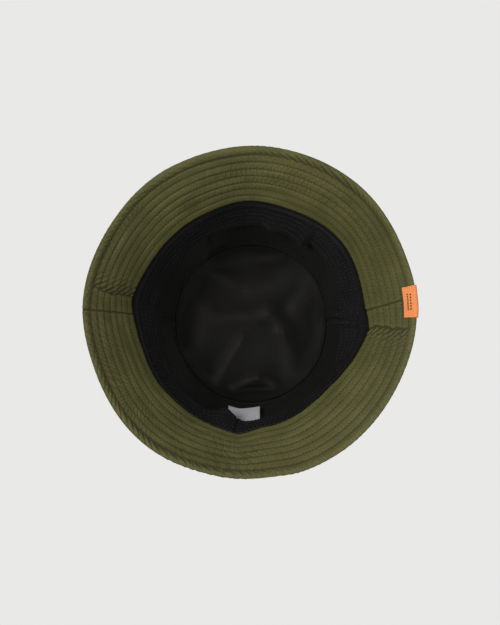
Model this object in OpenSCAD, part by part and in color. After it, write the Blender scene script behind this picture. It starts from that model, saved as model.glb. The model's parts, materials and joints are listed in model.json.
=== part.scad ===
// Bucket hat in quilted nylon: lined crown, stitched brim and sweatband.
// Upright as worn: the brim's edge rests on z = 0, the front is -Y and the axis is Z.

/* [Head opening] */
// Radius of the sweatband's inner face where the head goes in
head_r = 92; // [88:0.5:96]
// Height of the upright part of the crown wall above the brim seam
upright_h = 10; // [8:1:14]

/* [Brim] */
// Radius of the brim's outer edge
brim_r = 133; // [128:1:140]
// Height from the brim's edge up to the seam with the crown
brim_drop = 41; // [36:1:46]
// How far the middle of the brim hangs inside a straight cone
brim_dip = 1.8; // [0:0.2:3]
// Number of stitch rows round the brim
brim_rows = 7; // [5:1:7]
// Distance from the brim's edge to the first row, and from row to row
row_pitch = 7; // [6:0.25:7.25]

/* [Crown] */
// Height from the brim seam to the edge of the top panel
crown_h = 86; // [78:1:96]
// Radius of the top panel
tip_r = 67; // [62:1:72]
// Rise of the top panel from its edge to its middle
tip_rise = 3; // [1:0.5:6]

/* [Fabric] */
// Thickness of the shell fabric
shell_t = 0.6; // [0.4:0.1:0.8]
// Thickness of the brim's stiffener
stiffener_t = 0.8; // [0.5:0.1:1]
// Thickness of the mesh lining
lining_t = 0.4; // [0.3:0.1:0.6]
// Thickness of the sewing thread
thread_d = 0.4; // [0.3:0.05:0.4]

/* [Sweatband] */
// Height of the sweatband
band_h = 38; // [32:1:42]
// Thickness of the sweatband's fabric
band_t = 0.5; // [0.3:0.1:0.6]
// Thickness of the padding inside the sweatband
padding_t = 1; // [0.6:0.1:1.4]
// Number of stitch rows round the sweatband
band_rows = 5; // [3:1:5]
// Distance between the sweatband's stitch rows
band_pitch = 5.5; // [4:0.5:5.5]

/* [Labels] */
// Length of the folded tab along the brim's edge
tab_len = 26; // [18:1:30]
// Width of the folded tab on each face of the brim
tab_w = 11; // [10:1:18]
// Thickness of the tab's ribbon
tab_t = 0.4; // [0.3:0.1:0.5]
// Width of the care label
label_w = 27; // [20:1:30]
// Free length of the care label
label_len = 34; // [24:1:36]
// Thickness of the care label
label_t = 0.3; // [0.2:0.05:0.4]

/* [Hidden] */
function brim_row_name(row) = str("brim_stitch_row_", row);
function band_row_name(row) = str("sweatband_stitch_row_", row);

$fn = 96;

olive = [0.33, 0.33, 0.18];
olive_thread = [0.25, 0.26, 0.14];
black_cloth = [0.09, 0.09, 0.10];
black_mesh = [0.12, 0.12, 0.11];
black_thread = [0.05, 0.05, 0.06];
white_felt = [0.85, 0.85, 0.82];
orange = [1.0, 0.55, 0.30];
satin_grey = [0.75, 0.75, 0.77];

air = 0.05;            // space between two layers that are sewn flat together
slack = 0.3;           // space between the loose layers of the crown
seam_gap = 0.3;        // width of the line between two panels sewn end to end
curve_steps = 6;       // straight pieces in each curved profile
thread_fn = 24;

// Crown wall, from the inside out, at its upright foot
band_total = 2 * band_t + padding_t + 2 * air;
lining_r = head_r + band_total + slack;
wall_r = lining_r + lining_t + slack;
seam_z = brim_drop;
top_z = seam_z + crown_h;
bend_z = seam_z + upright_h;
taper = (wall_r + shell_t - tip_r) / (top_z - bend_z);
taper_angle = atan(taper);

// Brim, from the under face up
brim_in_r = head_r + 2;
brim_t = 2 * shell_t + stiffener_t + 2 * air;
stiffener_at = shell_t + air;
brim_top_at = brim_t - shell_t;
brim_in = [brim_in_r, seam_z];
cone_slope = atan2(seam_z, brim_r - brim_in_r);
brim_out = [brim_r - brim_t / sin(cone_slope), 0];
brim_chord = brim_out - brim_in;
brim_len = norm(brim_chord);
chord_normal = [-brim_chord[1], brim_chord[0]] / brim_len;
fabric_foot_z = seam_z + brim_t + air;

// The side seams sit a little forward of the middle
seam_turn = 2;
front_from = 180 + seam_turn;
front_sweep = 180 - 2 * seam_turn;
back_from = -seam_turn;
back_sweep = 180 + 2 * seam_turn;

band_foot_z = seam_z + 0.5;
band_top_z = band_foot_z + band_h;
first_band_row_z = bend_z + 2.5;
tab_turn = -4;
tab_gap = thread_d + 2 * air;
tab_relief_h = 0.6;
inner_edge_z = 0.4;    // the layers under the top one end just above the ground
label_x = -5;
label_lean = 8;
label_hinge_z = band_top_z + 2;
label_hinge_y = 80.5;
label_start = 0.5;

// Distance that the crown wall leans in at height z
function lean_in(z) = z <= bend_z ? 0 : (z - bend_z) * taper;

// Point of the brim at fraction u of its width, from the crown seam outwards,
// standing a distance off the under face
function brim_tangent(u) = brim_chord - chord_normal * brim_dip * 4 * (1 - 2 * u);
function brim_normal(u) =
    let (t = brim_tangent(u))
    [-t[1], t[0]] / norm(t);
function brim_point(u, off) =
    brim_in + brim_chord * u - chord_normal * brim_dip * 4 * u * (1 - u)
    + brim_normal(u) * off;

// The same line carried on to a level near the ground
function brim_foot(off, level) =
    let (p = brim_point(1, off), t = brim_tangent(1))
    p + t * (p[1] - level) / -t[1];

// Fraction of the brim's width at which a face is still just above that level
function brim_end(off, level) =
    0.999 - max(0, level - off * brim_normal(1)[1]) / -brim_tangent(1)[1];

function brim_face(u0, off, level) = concat(
    [for (i = [0 : curve_steps])
        brim_point(u0 + (brim_end(off, level) - u0) * i / curve_steps, off)],
    [brim_foot(off, level)]
);

function reversed(points) = [for (i = [len(points) - 1 : -1 : 0]) points[i]];

function row_u(row) = 1 - row * row_pitch / brim_len;

module spin(from, sweep) {
    rotate([0, 0, from])
        rotate_extrude(angle = sweep)
            children();
}

module front_panel(r) {
    half_gap = asin(seam_gap / 2 / r);
    spin(front_from + half_gap, front_sweep - 2 * half_gap)
        children();
}

module back_panel(r) {
    half_gap = asin(seam_gap / 2 / r);
    spin(back_from + half_gap, back_sweep - 2 * half_gap)
        children();
}

// Profile of one flat layer of the brim between two distances off the under face
module brim_layer(low, high, edge_z) {
    polygon(concat(brim_face(0, low, edge_z), reversed(brim_face(0, high, edge_z))));
}

// Shallow step in the brim's edge that takes the fold of the tab
module tab_relief() {
    relief_l = tab_len + 1;
    rotate([0, 0, tab_turn])
        translate([brim_in_r, -relief_l / 2, -1])
            cube([brim_r, relief_l, tab_relief_h + 1]);
}

module brim_front(low, high, edge_z) {
    difference() {
        front_panel(brim_in_r)
            brim_layer(low, high, edge_z);
        tab_relief();
    }
}

module brim_back(low, high, edge_z) {
    difference() {
        back_panel(brim_in_r)
            brim_layer(low, high, edge_z);
        tab_relief();
    }
}

// Profile of a wall layer that follows the crown from height z0 to z1
module wall_layer(r, t, z0, z1) {
    polygon([
        [r, z0],
        [r + t, z0],
        [r + t, bend_z],
        [r + t - lean_in(z1), z1],
        [r - lean_in(z1), z1],
        [r, bend_z]
    ]);
}

// Round panel with a gentle rise, its underside at height z at the edge
module top_panel(r, t, z, rise) {
    rim = [for (i = [0 : curve_steps]) let (x = r * i / curve_steps)
        [x, z + rise * (1 - pow(x / r, 2))]];
    rotate_extrude()
        polygon(concat(rim, reversed([for (p = rim) [p[0], p[1] + t]])));
}

module thread_ring(r, z) {
    rotate_extrude()
        translate([r, z])
            circle(d = thread_d, $fn = thread_fn);
}

// Row of stitches seen on both faces of the brim
module brim_stitch_row(row) {
    stand_off = air + thread_d / 2;
    under = brim_point(row_u(row), -stand_off);
    over = brim_point(row_u(row), brim_t + stand_off);
    color(olive_thread) {
        thread_ring(under[0], under[1]);
        thread_ring(over[0], over[1]);
    }
}

module sweatband_stitch_row(row) {
    z = first_band_row_z + (row - 1) * band_pitch;
    color(black_thread)
        thread_ring(head_r - air - thread_d / 2 - lean_in(z), z);
}

// Straight thread up the leaning crown wall, a distance to one side of a seam
module wall_thread(turn, aside, r, z0, z1) {
    rotate([0, 0, turn])
        translate([r - lean_in(z0), aside, z0])
            rotate([0, -taper_angle, 0])
                cylinder(d = thread_d, h = (z1 - z0) / cos(taper_angle), $fn = thread_fn);
}

// Two rows of stitches beside a side seam of the crown
module side_seam_topstitch(turn) {
    stand_off = 2 * air + thread_d / 2;
    row_aside = 2.5;
    color(olive_thread)
        for (aside = [-row_aside, row_aside])
            wall_thread(turn, aside, wall_r + shell_t + stand_off, bend_z + 1, top_z - 6);
}

module crown_tip() {
    color(olive)
        top_panel(tip_r, shell_t, top_z + air, tip_rise);
}

module crown_side_front() {
    color(olive)
        front_panel(tip_r)
            wall_layer(wall_r, shell_t, fabric_foot_z, top_z);
}

module crown_side_back() {
    color(olive)
        back_panel(tip_r)
            wall_layer(wall_r, shell_t, fabric_foot_z, top_z);
}

module brim_top_front() {
    color(olive)
        brim_front(brim_top_at, brim_t, 0);
}

module brim_top_back() {
    color(olive)
        brim_back(brim_top_at, brim_t, 0);
}

module brim_stiffener_front() {
    color(white_felt)
        brim_front(stiffener_at, stiffener_at + stiffener_t, inner_edge_z);
}

module brim_stiffener_back() {
    color(white_felt)
        brim_back(stiffener_at, stiffener_at + stiffener_t, inner_edge_z);
}

module brim_under_front() {
    color(olive)
        brim_front(0, shell_t, inner_edge_z);
}

module brim_under_back() {
    color(olive)
        brim_back(0, shell_t, inner_edge_z);
}

lining_top_z = top_z - 2.5;
lining_tip_r = lining_r + lining_t - lean_in(lining_top_z);

module lining_tip() {
    color(black_mesh)
        top_panel(lining_tip_r, lining_t, lining_top_z + air, tip_rise - 1);
}

module lining_side_front() {
    color(black_mesh)
        front_panel(tip_r)
            wall_layer(lining_r, lining_t, fabric_foot_z, lining_top_z);
}

module lining_side_back() {
    color(black_mesh)
        back_panel(tip_r)
            wall_layer(lining_r, lining_t, fabric_foot_z, lining_top_z);
}

// Fabric folded over the top of the padding, open at the foot
module sweatband_cover() {
    pocket_t = padding_t + 2 * air;
    color(black_cloth)
        rotate_extrude()
            difference() {
                wall_layer(head_r, band_total, band_foot_z, band_top_z);
                wall_layer(head_r + band_t, pocket_t, band_foot_z - 1, band_top_z - band_t);
            }
}

module sweatband_padding() {
    color(white_felt)
        rotate_extrude()
            wall_layer(head_r + band_t + air, padding_t, band_foot_z, band_top_z - band_t - air);
}

// Short upright row that closes the sweatband into a ring at the back
module sweatband_join_stitches() {
    color(black_thread)
        wall_thread(90, 0, head_r - 2 * air - 1.5 * thread_d, bend_z + 1, band_top_z - 2);
}

module tip_topstitch_upper() {
    inset = 2.5;
    r = tip_r - inset;
    color(olive_thread)
        thread_ring(r, top_z + 2 * air + shell_t + thread_d + tip_rise * (1 - pow(r / tip_r, 2)));
}

module tip_topstitch_lower() {
    z = top_z - 3;
    color(olive_thread)
        thread_ring(wall_r + shell_t + air + thread_d - lean_in(z), z);
}

module crown_base_topstitch() {
    color(olive_thread)
        thread_ring(wall_r + shell_t + air + thread_d / 2, fabric_foot_z + 3);
}

// Ribbon folded over the brim's edge and held by the outer stitch row
module edge_tab() {
    u0 = 1 - tab_w / brim_len;
    inner = concat(
        brim_face(u0, -tab_gap, tab_t + 2 * air),
        reversed(brim_face(u0, brim_t + tab_gap, tab_t + 2 * air))
    );
    outer = concat(
        brim_face(u0, -tab_gap - tab_t, air),
        reversed(brim_face(u0, brim_t + tab_gap + tab_t, air))
    );
    half_turn = asin(tab_len / 2 / brim_r);
    color(orange)
        spin(tab_turn - half_turn, 2 * half_turn)
            polygon(concat(outer, reversed(inner)));
}

// Care label that stands up from behind the sweatband at the back
module care_label() {
    color(satin_grey)
        translate([label_x, label_hinge_y, label_hinge_z])
            rotate([label_lean + taper_angle, 0, 0])
                translate([-label_w / 2, -label_t / 2, label_start])
                    cube([label_w, label_t, label_len - label_start]);
}

crown_tip();
crown_side_front();
crown_side_back();
brim_top_front();
brim_top_back();
brim_stiffener_front();
brim_stiffener_back();
brim_under_front();
brim_under_back();
lining_tip();
lining_side_front();
lining_side_back();
sweatband_cover();
sweatband_padding();
for (row = [1 : brim_rows])
    brim_stitch_row(row);
for (row = [1 : band_rows])
    sweatband_stitch_row(row);
sweatband_join_stitches();
tip_topstitch_upper();
tip_topstitch_lower();
crown_base_topstitch();
side_seam_topstitch(180 + seam_turn);  // side_seam_topstitch_left
side_seam_topstitch(-seam_turn);  // side_seam_topstitch_right
edge_tab();
care_label();
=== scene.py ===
import json
import math

import bpy
import numpy as np
from mathutils import Matrix, Vector


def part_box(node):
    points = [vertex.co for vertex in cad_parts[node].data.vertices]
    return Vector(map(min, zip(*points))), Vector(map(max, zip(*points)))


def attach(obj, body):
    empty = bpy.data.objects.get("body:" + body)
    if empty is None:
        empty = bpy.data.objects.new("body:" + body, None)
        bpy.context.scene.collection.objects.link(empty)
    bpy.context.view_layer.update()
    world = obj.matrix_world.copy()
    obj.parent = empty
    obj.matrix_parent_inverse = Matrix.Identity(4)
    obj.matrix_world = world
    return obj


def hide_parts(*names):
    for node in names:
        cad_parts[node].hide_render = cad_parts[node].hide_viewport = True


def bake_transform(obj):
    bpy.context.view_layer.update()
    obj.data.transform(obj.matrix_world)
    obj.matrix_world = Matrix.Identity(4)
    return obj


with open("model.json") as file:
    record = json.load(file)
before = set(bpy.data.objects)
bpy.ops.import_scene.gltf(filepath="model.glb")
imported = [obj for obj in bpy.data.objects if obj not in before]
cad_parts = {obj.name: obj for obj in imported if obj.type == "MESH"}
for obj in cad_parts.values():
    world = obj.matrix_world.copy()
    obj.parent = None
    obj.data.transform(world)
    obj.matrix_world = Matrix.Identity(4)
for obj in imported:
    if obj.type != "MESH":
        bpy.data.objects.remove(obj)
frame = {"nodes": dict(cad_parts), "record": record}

MM = 0.001
TAU = 2 * math.pi
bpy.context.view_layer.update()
NODES = frame["nodes"]
MOUNTS = {m["name"]: m for m in frame["record"]["mounts"]}


# ---------------------------------------------------------------- sizes read from the frame

def radii(node):
    """Least and greatest distance of a node from the hat's axis."""
    far = [math.hypot(v.co.x, v.co.y) for v in NODES[node].data.vertices]
    return min(far), max(far)


def heights(node):
    low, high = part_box(node)
    return low.z, high.z


HEAD_R = MOUNTS["head_opening"]["dims"]["r_mm"] * MM
HEAD_UPRIGHT_Z = MOUNTS["head_opening"]["pos_m"][2] + MOUNTS["head_opening"]["dims"]["length_mm"] / 2 * MM
BRIM_IN_R = radii("brim_under_front")[0]
RIM_R = radii("brim_top_front")[1]
SEAM_Z = heights("brim_under_front")[1]
TIP_R = radii("crown_tip")[1]
TOP_Z = heights("crown_side_front")[1]
PEAK_Z = heights("crown_tip")[1]
WALL_R = radii("crown_side_front")[1]
LINING_R = radii("lining_side_front")[1]
LINING_TOP_Z = heights("lining_side_front")[1]
BAND_Z0, BAND_Z1 = heights("sweatband_cover")
BAND_T = radii("sweatband_cover")[1] - HEAD_R
BRIM_T = heights("brim_top_front")[1] - SEAM_Z

BRIM_ROWS = sum(n.startswith("brim_stitch_row_") for n in NODES)
BAND_ROWS = sum(n.startswith("sweatband_stitch_row_") for n in NODES)
EDGE_R = BRIM_T / 2 + 0.25 * MM          # radius of the turned edge of the brim
BRIM_LEN = math.hypot(RIM_R - EDGE_R - BRIM_IN_R, SEAM_Z)
ROW_PITCH = BRIM_LEN / (BRIM_ROWS + 0.85)
BRIM_DIP = 1.8 * MM
SEAM_CURL = 1.5 * MM                     # how far the brim turns up where it meets the crown
STITCH = 2.8 * MM                        # length of one stitch and its gap


# ---------------------------------------------------------------- smooth irregular shapes

def ripple(az, v, around, up, seed):
    """Smooth noise from about -1 to 1 that closes on itself round the hat."""
    cells = np.random.RandomState(seed).uniform(-1.7, 1.7, (up + 4, around))
    x = np.mod(az / TAU, 1) * around
    y = np.clip(v, 0, 1) * up
    ix, iy = np.floor(x).astype(int), np.floor(y).astype(int)
    fx, fy = x - ix, y - iy

    def weights(f):
        return [(1 - f) ** 3 / 6, (3 * f**3 - 6 * f**2 + 4) / 6,
                (-3 * f**3 + 3 * f**2 + 3 * f + 1) / 6, f**3 / 6]

    total = 0
    for j, wy in enumerate(weights(fy)):
        for i, wx in enumerate(weights(fx)):
            total = total + wx * wy * cells[iy + j, (ix + i) % around]
    return total


def stations(az, points):
    """A closed smooth curve through (azimuth in degrees, value) points."""
    deg = np.mod(np.degrees(az), 360)
    a = [p[0] for p in points]
    v = [p[1] for p in points]
    a = [a[-1] - 360] + a + [a[0] + 360]
    v = [v[-1]] + v + [v[0]]
    i = np.clip(np.searchsorted(a, deg, side="right") - 1, 0, len(a) - 2)
    a, v = np.array(a), np.array(v)
    f = (deg - a[i]) / (a[i + 1] - a[i])
    f = f * f * (3 - 2 * f)
    return v[i] * (1 - f) + v[i + 1] * f


def turn_from(az, centre_deg):
    """Signed angle from a direction, in radians, between -pi and pi."""
    return np.mod(az - np.radians(centre_deg) + math.pi, TAU) - math.pi


def kink(az, centre_deg, width_deg):
    """A pointed bump, 1 at its centre and 0 from its width outwards."""
    d = np.abs(turn_from(az, centre_deg)) / math.radians(width_deg)
    return np.clip(1 - d, 0, None) ** 1.5


def bump(az, centre_deg, width_deg):
    """A rounded bump, 1 at its centre."""
    return np.exp(-(turn_from(az, centre_deg) / math.radians(width_deg)) ** 2)


def ridge(distance, width):
    """A rounded ridge or valley, 1 at its centre and fading over a width."""
    return np.exp(-(distance / width) ** 2)


# The hat was folded flat, so its opening is not quite round: it has points at both
# sides and at the back, and flatter stretches between them. These and the other lists
# of pairs are soft offsets from the plain round hat: azimuth in degrees, then mm outwards
# for the opening and the rim.
FOLD_LEFT, FOLD_RIGHT, FOLD_BACK = 188, 6, 95.5
OPENING = [(3, 2.6), (45, -6.2), (80, -1.6), (99, 2.4), (135, 0.0), (160, -0.8), (187, 2.8),
           (222, -0.7), (245, -0.2), (268, 3.0), (290, 1.6), (320, 4.2), (350, 1.2)]
RIM = [(28, -1.4), (72, 0.2), (82, -1.0), (102, -0.4), (130, 1.8), (160, -0.6), (184, 1.3),
       (212, -0.1), (235, 1.0), (255, 0.9), (275, 2.2), (308, 2.6), (340, 0.4), (352, 1.2)]


def opening_shift(az):
    points = 2.4 * kink(az, FOLD_LEFT, 15) + 2.6 * kink(az, FOLD_RIGHT, 12) + 2.4 * kink(az, FOLD_BACK, 11)
    return (stations(az, OPENING) + points) * MM


def rim_lift(az):
    at_tab = 1.5 * bump(az, -4, 10)
    return ((1.1 + 0.9 * ripple(az, 0 * az, 9, 1, 4)).clip(0, None) + at_tab) * MM


# How far the soft crown wall stands out (or in) at half height, in mm
WALL = [(10, 0.0), (40, 3.5), (75, 4.5), (105, 5.0), (140, 1.5), (180, 0.0), (225, 0.8),
        (262, -0.6), (300, 1.5), (330, 0.5)]


def settle(az, r, z):
    """Moves a point of the plain round hat to where the soft hat has it."""
    u = np.clip(1 - z / SEAM_Z, 0, 1)
    v = np.clip((z - SEAM_Z) / (TOP_Z - SEAM_Z), 0, 1.1)
    inside = opening_shift(az)
    seam_lift = 0.8 * MM * ripple(az, 0 * az, 7, 1, 9)
    belly = np.sin(math.pi * v.clip(0, 1) ** 0.85)
    brim_r = (1 - u) * inside + u * stations(az, RIM) * MM
    wall = (stations(az, WALL) + 1.1 * ripple(az, v, 11, 3, 21)) * MM * belly
    crown_r = inside * (1 - v).clip(0, None) ** 1.4 + wall
    tip_r = 0.8 * MM * ripple(az, 0 * az, 6, 1, 23) * v
    up = z > SEAM_Z
    bulge = 0.7 * MM * ripple(az + 0.25 * u, u, 13, 3, 51) * np.sin(math.pi * u)
    dr = np.where(up, crown_r + tip_r * (r / TIP_R).clip(0, 1), brim_r + 0.75 * bulge)
    dz = np.where(up, (1 - v) * seam_lift, (1 - u) * seam_lift + u * rim_lift(az) + 0.66 * bulge)
    r = r + dr
    return np.stack([r * np.cos(az), r * np.sin(az), z + dz], -1)


# ---------------------------------------------------------------- mesh makers

def new_object(name, verts, faces, uv=None, values=None, smooth=True):
    """A mesh object from arrays: faces are rows of three or four corners."""
    mesh = bpy.data.meshes.new(name)
    faces = np.asarray(faces, np.int32)
    corners = faces.shape[1]
    mesh.vertices.add(len(verts))
    mesh.vertices.foreach_set("co", np.asarray(verts, np.float32).ravel())
    mesh.loops.add(faces.size)
    mesh.loops.foreach_set("vertex_index", faces.ravel())
    mesh.polygons.add(len(faces))
    mesh.polygons.foreach_set("loop_start", np.arange(0, faces.size, corners, dtype=np.int32))
    mesh.polygons.foreach_set("loop_total", np.full(len(faces), corners, np.int32))
    mesh.update(calc_edges=True)
    mesh.validate()
    if smooth:
        mesh.shade_smooth()
    if uv is not None:
        layer = mesh.uv_layers.new(name="cloth")
        layer.data.foreach_set("uv", np.asarray(uv, np.float32)[faces.ravel()].ravel())
    for key, value in (values or {}).items():
        mesh.attributes.new(key, "FLOAT", "POINT").data.foreach_set("value", np.asarray(value, np.float32).ravel())
    obj = bpy.data.objects.new(name, mesh)
    bpy.context.scene.collection.objects.link(obj)
    return obj


def grid_faces(n, m, closed=False, flip=False):
    """Quads of an n by m grid; closed joins the last row to the first."""
    i = np.arange(n if closed else n - 1)[:, None]
    j = np.arange(m - 1)[None, :]
    a, b = i * m + j, ((i + 1) % n) * m + j
    quads = np.stack([a, b, b + 1, a + 1], -1).reshape(-1, 4)
    return quads[:, ::-1] if flip else quads


def sheet_object(name, points, uv, closed=False, flip=False, values=None):
    n, m = points.shape[:2]
    values = {k: v.reshape(-1) for k, v in (values or {}).items()}
    return new_object(name, points.reshape(-1, 3), grid_faces(n, m, closed, flip), uv.reshape(-1, 2), values)


def slab_object(name, low, high, uv, values=None):
    """A closed thin sheet between two grids of points."""
    n, m = low.shape[:2]
    count = n * m
    lower, upper = grid_faces(n, m), grid_faces(n, m, flip=True) + count
    grid = np.arange(count).reshape(n, m)
    loop = np.concatenate([grid[:, 0], grid[-1, 1:], grid[-2::-1, -1], grid[0, -2:0:-1]])
    after = np.roll(loop, -1)
    rim = np.stack([loop, loop + count, after + count, after], -1)
    verts = np.concatenate([low.reshape(-1, 3), high.reshape(-1, 3)])
    values = {k: np.concatenate([v.reshape(-1)] * 2) for k, v in (values or {}).items()}
    faces = np.concatenate([lower, upper, rim])
    return new_object(name, verts, faces, np.concatenate([uv.reshape(-1, 2)] * 2), values)


def unit(v):
    return v / np.maximum(np.linalg.norm(v, axis=-1, keepdims=True), 1e-12)


def stitches(name, place, turns, length, width, out_sign=1):
    """A row of stitches. place(q, e) gives the cloth's points at station q, e to one side."""
    q = np.asarray(turns)
    step, aside = q[1] - q[0], 0.4 * MM
    centre = place(q, 0.0)
    along = unit(place(q + step / 4, 0.0) - place(q - step / 4, 0.0))
    across = unit(place(q, aside) - place(q, -aside))
    out = unit(np.cross(along, across)) * out_sign
    across = np.cross(out, along)
    shape = [(-0.5, 0.25, -0.9), (-0.4, 0.85, -0.25), (-0.2, 1.0, 0.15), (0.2, 1.0, 0.15),
             (0.4, 0.85, -0.25), (0.5, 0.25, -0.9)]
    sides = 6
    rings = []
    for x, fat, lift in shape:
        middle = centre + along * (x * length) + out * (lift * width / 2)
        for k in range(sides):
            turn = TAU * k / sides
            rings.append(middle + (across * math.cos(turn) + out * math.sin(turn)) * (fat * width / 2))
    verts = np.stack(rings, 1).reshape(-1, 3)
    per = len(shape) * sides
    one = []
    for ring in range(len(shape) - 1):
        for k in range(sides):
            a, b = ring * sides + k, ring * sides + (k + 1) % sides
            one.append([a, b, b + sides, a + sides])
    for start, order in ((0, (0, 3, 2, 1)), (per - sides, (0, 1, 2, 3))):
        one.append([start + k for k in order])
        one.append([start + (k + 3) % sides for k in order])
    one = np.array(one)
    faces = (np.arange(len(q))[:, None, None] * per + one[None]).reshape(-1, 4)
    return new_object(name, verts, faces)


def join(name, objects):
    """Joins objects into the first and names the result."""
    bpy.ops.object.select_all(action="DESELECT")
    for o in objects:
        o.select_set(True)
    bpy.context.view_layer.objects.active = objects[0]
    bpy.ops.object.join()
    objects[0].name = objects[0].data.name = name
    return objects[0]


def place_piece(obj, material, slot, body, *nodes):
    obj.data.materials.clear()
    obj.data.materials.append(material)
    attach(obj, body)
    if nodes:
        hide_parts(*nodes)
    return obj


# ---------------------------------------------------------------- materials

def material_base(name):
    m = bpy.data.materials.new(name)
    m.use_nodes = True
    nt = m.node_tree
    nt.nodes.clear()
    out = nt.nodes.new("ShaderNodeOutputMaterial")
    shader = nt.nodes.new("ShaderNodeBsdfPrincipled")
    nt.links.new(shader.outputs[0], out.inputs[0])
    return m, nt, shader


def node(nt, kind, **sockets):
    """A new node; keywords with capitals set its inputs, the others its properties."""
    n = nt.nodes.new(kind)
    for key, value in sockets.items():
        if key[0].isupper():
            socket = n.inputs[key.replace("_", " ")]
            if isinstance(value, bpy.types.NodeSocket):
                nt.links.new(value, socket)
            else:
                socket.default_value = value
        else:
            setattr(n, key, value)
    return n


def maths(nt, operation, a, b=None):
    n = nt.nodes.new("ShaderNodeMath")
    n.operation = operation
    for i, x in enumerate((a, b)):
        if isinstance(x, bpy.types.NodeSocket):
            nt.links.new(x, n.inputs[i])
        elif x is not None:
            n.inputs[i].default_value = x
    return n.outputs[0]


def spread(nt, value, low, high, to_low, to_high):
    n = node(nt, "ShaderNodeMapRange", Value=value, From_Min=low, From_Max=high, To_Min=to_low, To_Max=to_high)
    return n.outputs[0]


def mixed(nt, factor, a, b, blend="MIX"):
    n = nt.nodes.new("ShaderNodeMix")
    n.data_type = "RGBA"
    n.blend_type = blend
    for socket, x in ((n.inputs[0], factor), (n.inputs[6], a), (n.inputs[7], b)):
        if isinstance(x, bpy.types.NodeSocket):
            nt.links.new(x, socket)
        elif isinstance(x, (int, float)):
            socket.default_value = x
        else:
            socket.default_value = (*x, 1)
    return n.outputs[2]


def lines(nt, vector, pitch, angle_deg, warp=0.0):
    """Parallel soft lines from 0 to 1 across a pattern in metres, at an angle."""
    turned = node(nt, "ShaderNodeVectorRotate", rotation_type="Z_AXIS", Vector=vector,
                  Angle=math.radians(angle_deg))
    # a wave texture has one band in every pi / 10 of its input at scale 1
    wave = node(nt, "ShaderNodeTexWave", wave_type="BANDS", bands_direction="X", Vector=turned.outputs[0],
                Scale=math.pi / 10 / pitch, Distortion=warp, Detail=1.0)
    return wave.outputs["Fac"]


def noise(nt, vector, size, detail=2.0, rough=0.5):
    return node(nt, "ShaderNodeTexNoise", Vector=vector, Scale=1 / size, Detail=detail, Roughness=rough).outputs[0]


def cloth(name, dark, light, pitch, twill=55, roughness=0.5, sheen=0.2, sheen_tint=(1, 1, 1), specular=0.35,
          weave_depth=0.06, painted_shade=0.55, patch=25 * MM, gather=0):
    """Woven cloth: diagonal twill lines crossed by yarns, patchy colour, and painted shade in its grooves, creases
    and seams.
    """
    m, nt, shader = material_base(name)
    uv = node(nt, "ShaderNodeUVMap", uv_map="cloth").outputs[0]
    where = node(nt, "ShaderNodeTexCoord").outputs["Object"]
    diagonal = lines(nt, uv, pitch, twill)
    yarn = lines(nt, uv, pitch * 0.62, twill + 90, 0.4)
    weave = maths(nt, "MULTIPLY", maths(nt, "ADD", maths(nt, "MULTIPLY", diagonal, 0.75), 0.25),
                  maths(nt, "ADD", maths(nt, "MULTIPLY", yarn, 0.5), 0.5))
    patches = noise(nt, where, patch, 3.0, 0.6)
    flecks = noise(nt, where, 1.6 * MM, 2.0, 0.6)
    tone = maths(nt, "ADD", maths(nt, "MULTIPLY", spread(nt, patches, 0.3, 0.7, 0, 1), 0.6),
                 maths(nt, "MULTIPLY", spread(nt, flecks, 0.25, 0.75, 0, 1), 0.4))
    colour = mixed(nt, tone, dark, light)
    shade = maths(nt, "ADD", maths(nt, "MULTIPLY", weave, 0.35), 0.72)
    # Painted shade: a value on each point of a piece darkens the colour where shade falls in hollows, creases and
    # seams.
    depth = node(nt, "ShaderNodeAttribute", attribute_name="painted_shade").outputs["Fac"]
    deep = maths(nt, "SUBTRACT", 1.0, maths(nt, "MULTIPLY", depth, painted_shade))
    factor = maths(nt, "MULTIPLY", shade, deep)
    grey = node(nt, "ShaderNodeCombineColor", Red=factor, Green=factor, Blue=factor).outputs[0]
    nt.links.new(mixed(nt, 1.0, colour, grey, "MULTIPLY"), shader.inputs["Base Color"])
    nt.links.new(spread(nt, weave, 0, 1, roughness + 0.08, roughness - 0.06), shader.inputs["Roughness"])
    relief = maths(nt, "ADD", weave, maths(nt, "MULTIPLY", flecks, 0.6))
    if gather:
        relief = maths(nt, "ADD", relief, maths(nt, "MULTIPLY", lines(nt, uv, gather, 0, 3.0), 2.6))
    bumped = node(nt, "ShaderNodeBump", Strength=0.5, Distance=weave_depth * MM, Height=relief)
    nt.links.new(bumped.outputs[0], shader.inputs["Normal"])
    shader.inputs["Specular IOR Level"].default_value = specular
    shader.inputs["Sheen Weight"].default_value = sheen
    shader.inputs["Sheen Roughness"].default_value = 0.45
    shader.inputs["Sheen Tint"].default_value = (*sheen_tint, 1)
    return m


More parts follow.
